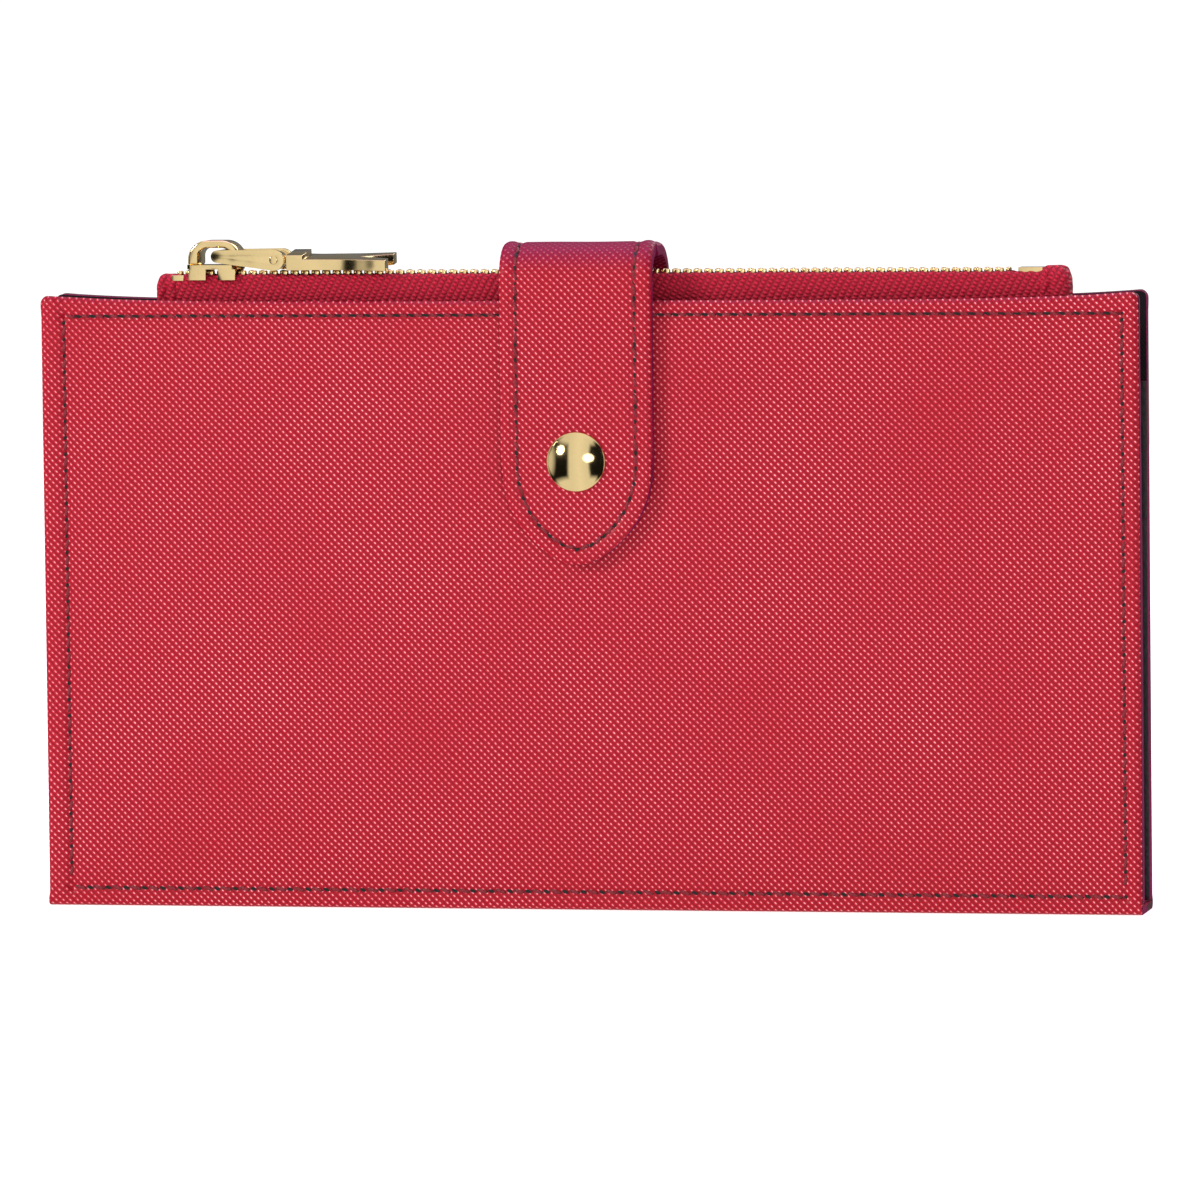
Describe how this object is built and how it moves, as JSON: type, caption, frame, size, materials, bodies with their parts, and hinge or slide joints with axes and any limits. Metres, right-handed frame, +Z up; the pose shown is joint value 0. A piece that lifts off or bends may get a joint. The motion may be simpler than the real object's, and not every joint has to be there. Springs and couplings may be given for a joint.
{
  "type": "bifold wallet",
  "caption": "Slim bifold wallet in cross-grained leather, with a zipped coin pocket between its two leaves, card slots inside and a snap tab over the top.",
  "frame": {"origin": "middle of the folded spine's underside, on the surface that the closed wallet stands on", "axes": "+X along the wallet towards the zip's bottom stop, +Y from the front leaf to the rear leaf, +Z up towards the zip"},
  "size_m": [0.195, 0.0209, 0.1173],
  "materials": {
    "saffiano_leather": "cross-hatched saffiano grain with a glossy coat",
    "smooth_red_leather": "smooth, satin",
    "dark_leather": "smooth, satin",
    "dark_lining": "fine twill",
    "zip_tape": "woven herringbone tape",
    "gold_teeth": "pale gold plate",
    "gold_plate": "polished pale gold plate",
    "board": "matt",
    "red_thread": "waxed"
  },
  "bodies": {
    "spine_and_pocket": {"spine_leather": "saffiano_leather", "spine_lining": "dark_lining", "pocket_front_wall": "dark_leather", "pocket_rear_wall": "dark_leather", "pocket_floor": "dark_lining", "pocket_gusset_left": "dark_leather", "pocket_gusset_right": "dark_leather", "zip_tape_front": "zip_tape", "zip_tape_rear": "zip_tape", "zip_teeth_front": "gold_teeth", "zip_teeth_rear": "gold_teeth", "zip_top_stop": "gold_teeth", "zip_bottom_stop": "gold_teeth", "tape_end_left": "zip_tape", "tape_end_right": "zip_tape"},
    "front_leaf": {"front_cover": "saffiano_leather", "front_board": "board", "front_lining": "dark_lining", "front_card_panel_high": "dark_leather", "front_card_panel_middle": "dark_leather", "front_card_panel_low": "dark_leather", "front_stitching": "red_thread", "snap_stud": "gold_plate"},
    "rear_leaf": {"rear_cover": "saffiano_leather", "rear_board": "board", "rear_lining": "dark_lining", "rear_card_panel_high": "dark_leather", "rear_card_panel_middle": "dark_leather", "rear_card_panel_low": "dark_leather", "rear_stitching": "red_thread", "tab_base": "saffiano_leather", "tab_base_stitching": "red_thread"},
    "arch": {"tab_arch": "saffiano_leather", "tab_arch_lining": "smooth_red_leather"},
    "flap": {"tab_flap": "saffiano_leather", "tab_flap_lining": "smooth_red_leather", "tab_stitching": "red_thread", "snap_cap": "gold_plate", "snap_socket": "gold_plate"},
    "slider": {"slider_body": "gold_plate", "slider_crown": "gold_plate"},
    "link": {"connector_link": "gold_plate", "link_pin": "gold_plate"},
    "pull": {"pull_plate": "gold_plate"}
  },
  "joints": [
    {"name": "front_leaf_open", "type": "hinge", "parent": "spine_and_pocket", "child": "front_leaf", "pos_m": [0, -0.007, 0.00137], "axis": [1, 0, 0], "range_deg": [0, 90]},
    {"name": "rear_leaf_open", "type": "hinge", "parent": "spine_and_pocket", "child": "rear_leaf", "pos_m": [0, 0.007, 0.00137], "axis": [-1, 0, 0], "range_deg": [0, 90]},
    {"name": "tab_lift", "type": "hinge", "parent": "rear_leaf", "child": "arch", "pos_m": [0, 0.0091, 0.10643], "axis": [-1, 0, 0], "range_deg": [0, 150], "deforming": ["tab_arch", "tab_arch_lining"]},
    {"name": "tab_unfold", "type": "hinge", "parent": "arch", "child": "flap", "pos_m": [0, -0.0096, 0.111], "axis": [-1, 0, 0], "range_deg": [0, 80]},
    {"name": "zip_slide", "type": "slide", "parent": "spine_and_pocket", "child": "slider", "axis": [1, 0, 0], "range_m": [0, 0.1376]},
    {"name": "link_swing", "type": "hinge", "parent": "slider", "child": "link", "pos_m": [-0.0661, 0, 0.1145], "axis": [0, -1, 0], "range_deg": [0, 140]},
    {"name": "pull_swing", "type": "hinge", "parent": "link", "child": "pull", "pos_m": [-0.0559, 0, 0.11385], "axis": [0, -1, 0], "range_deg": [0, 60]}
  ]
}
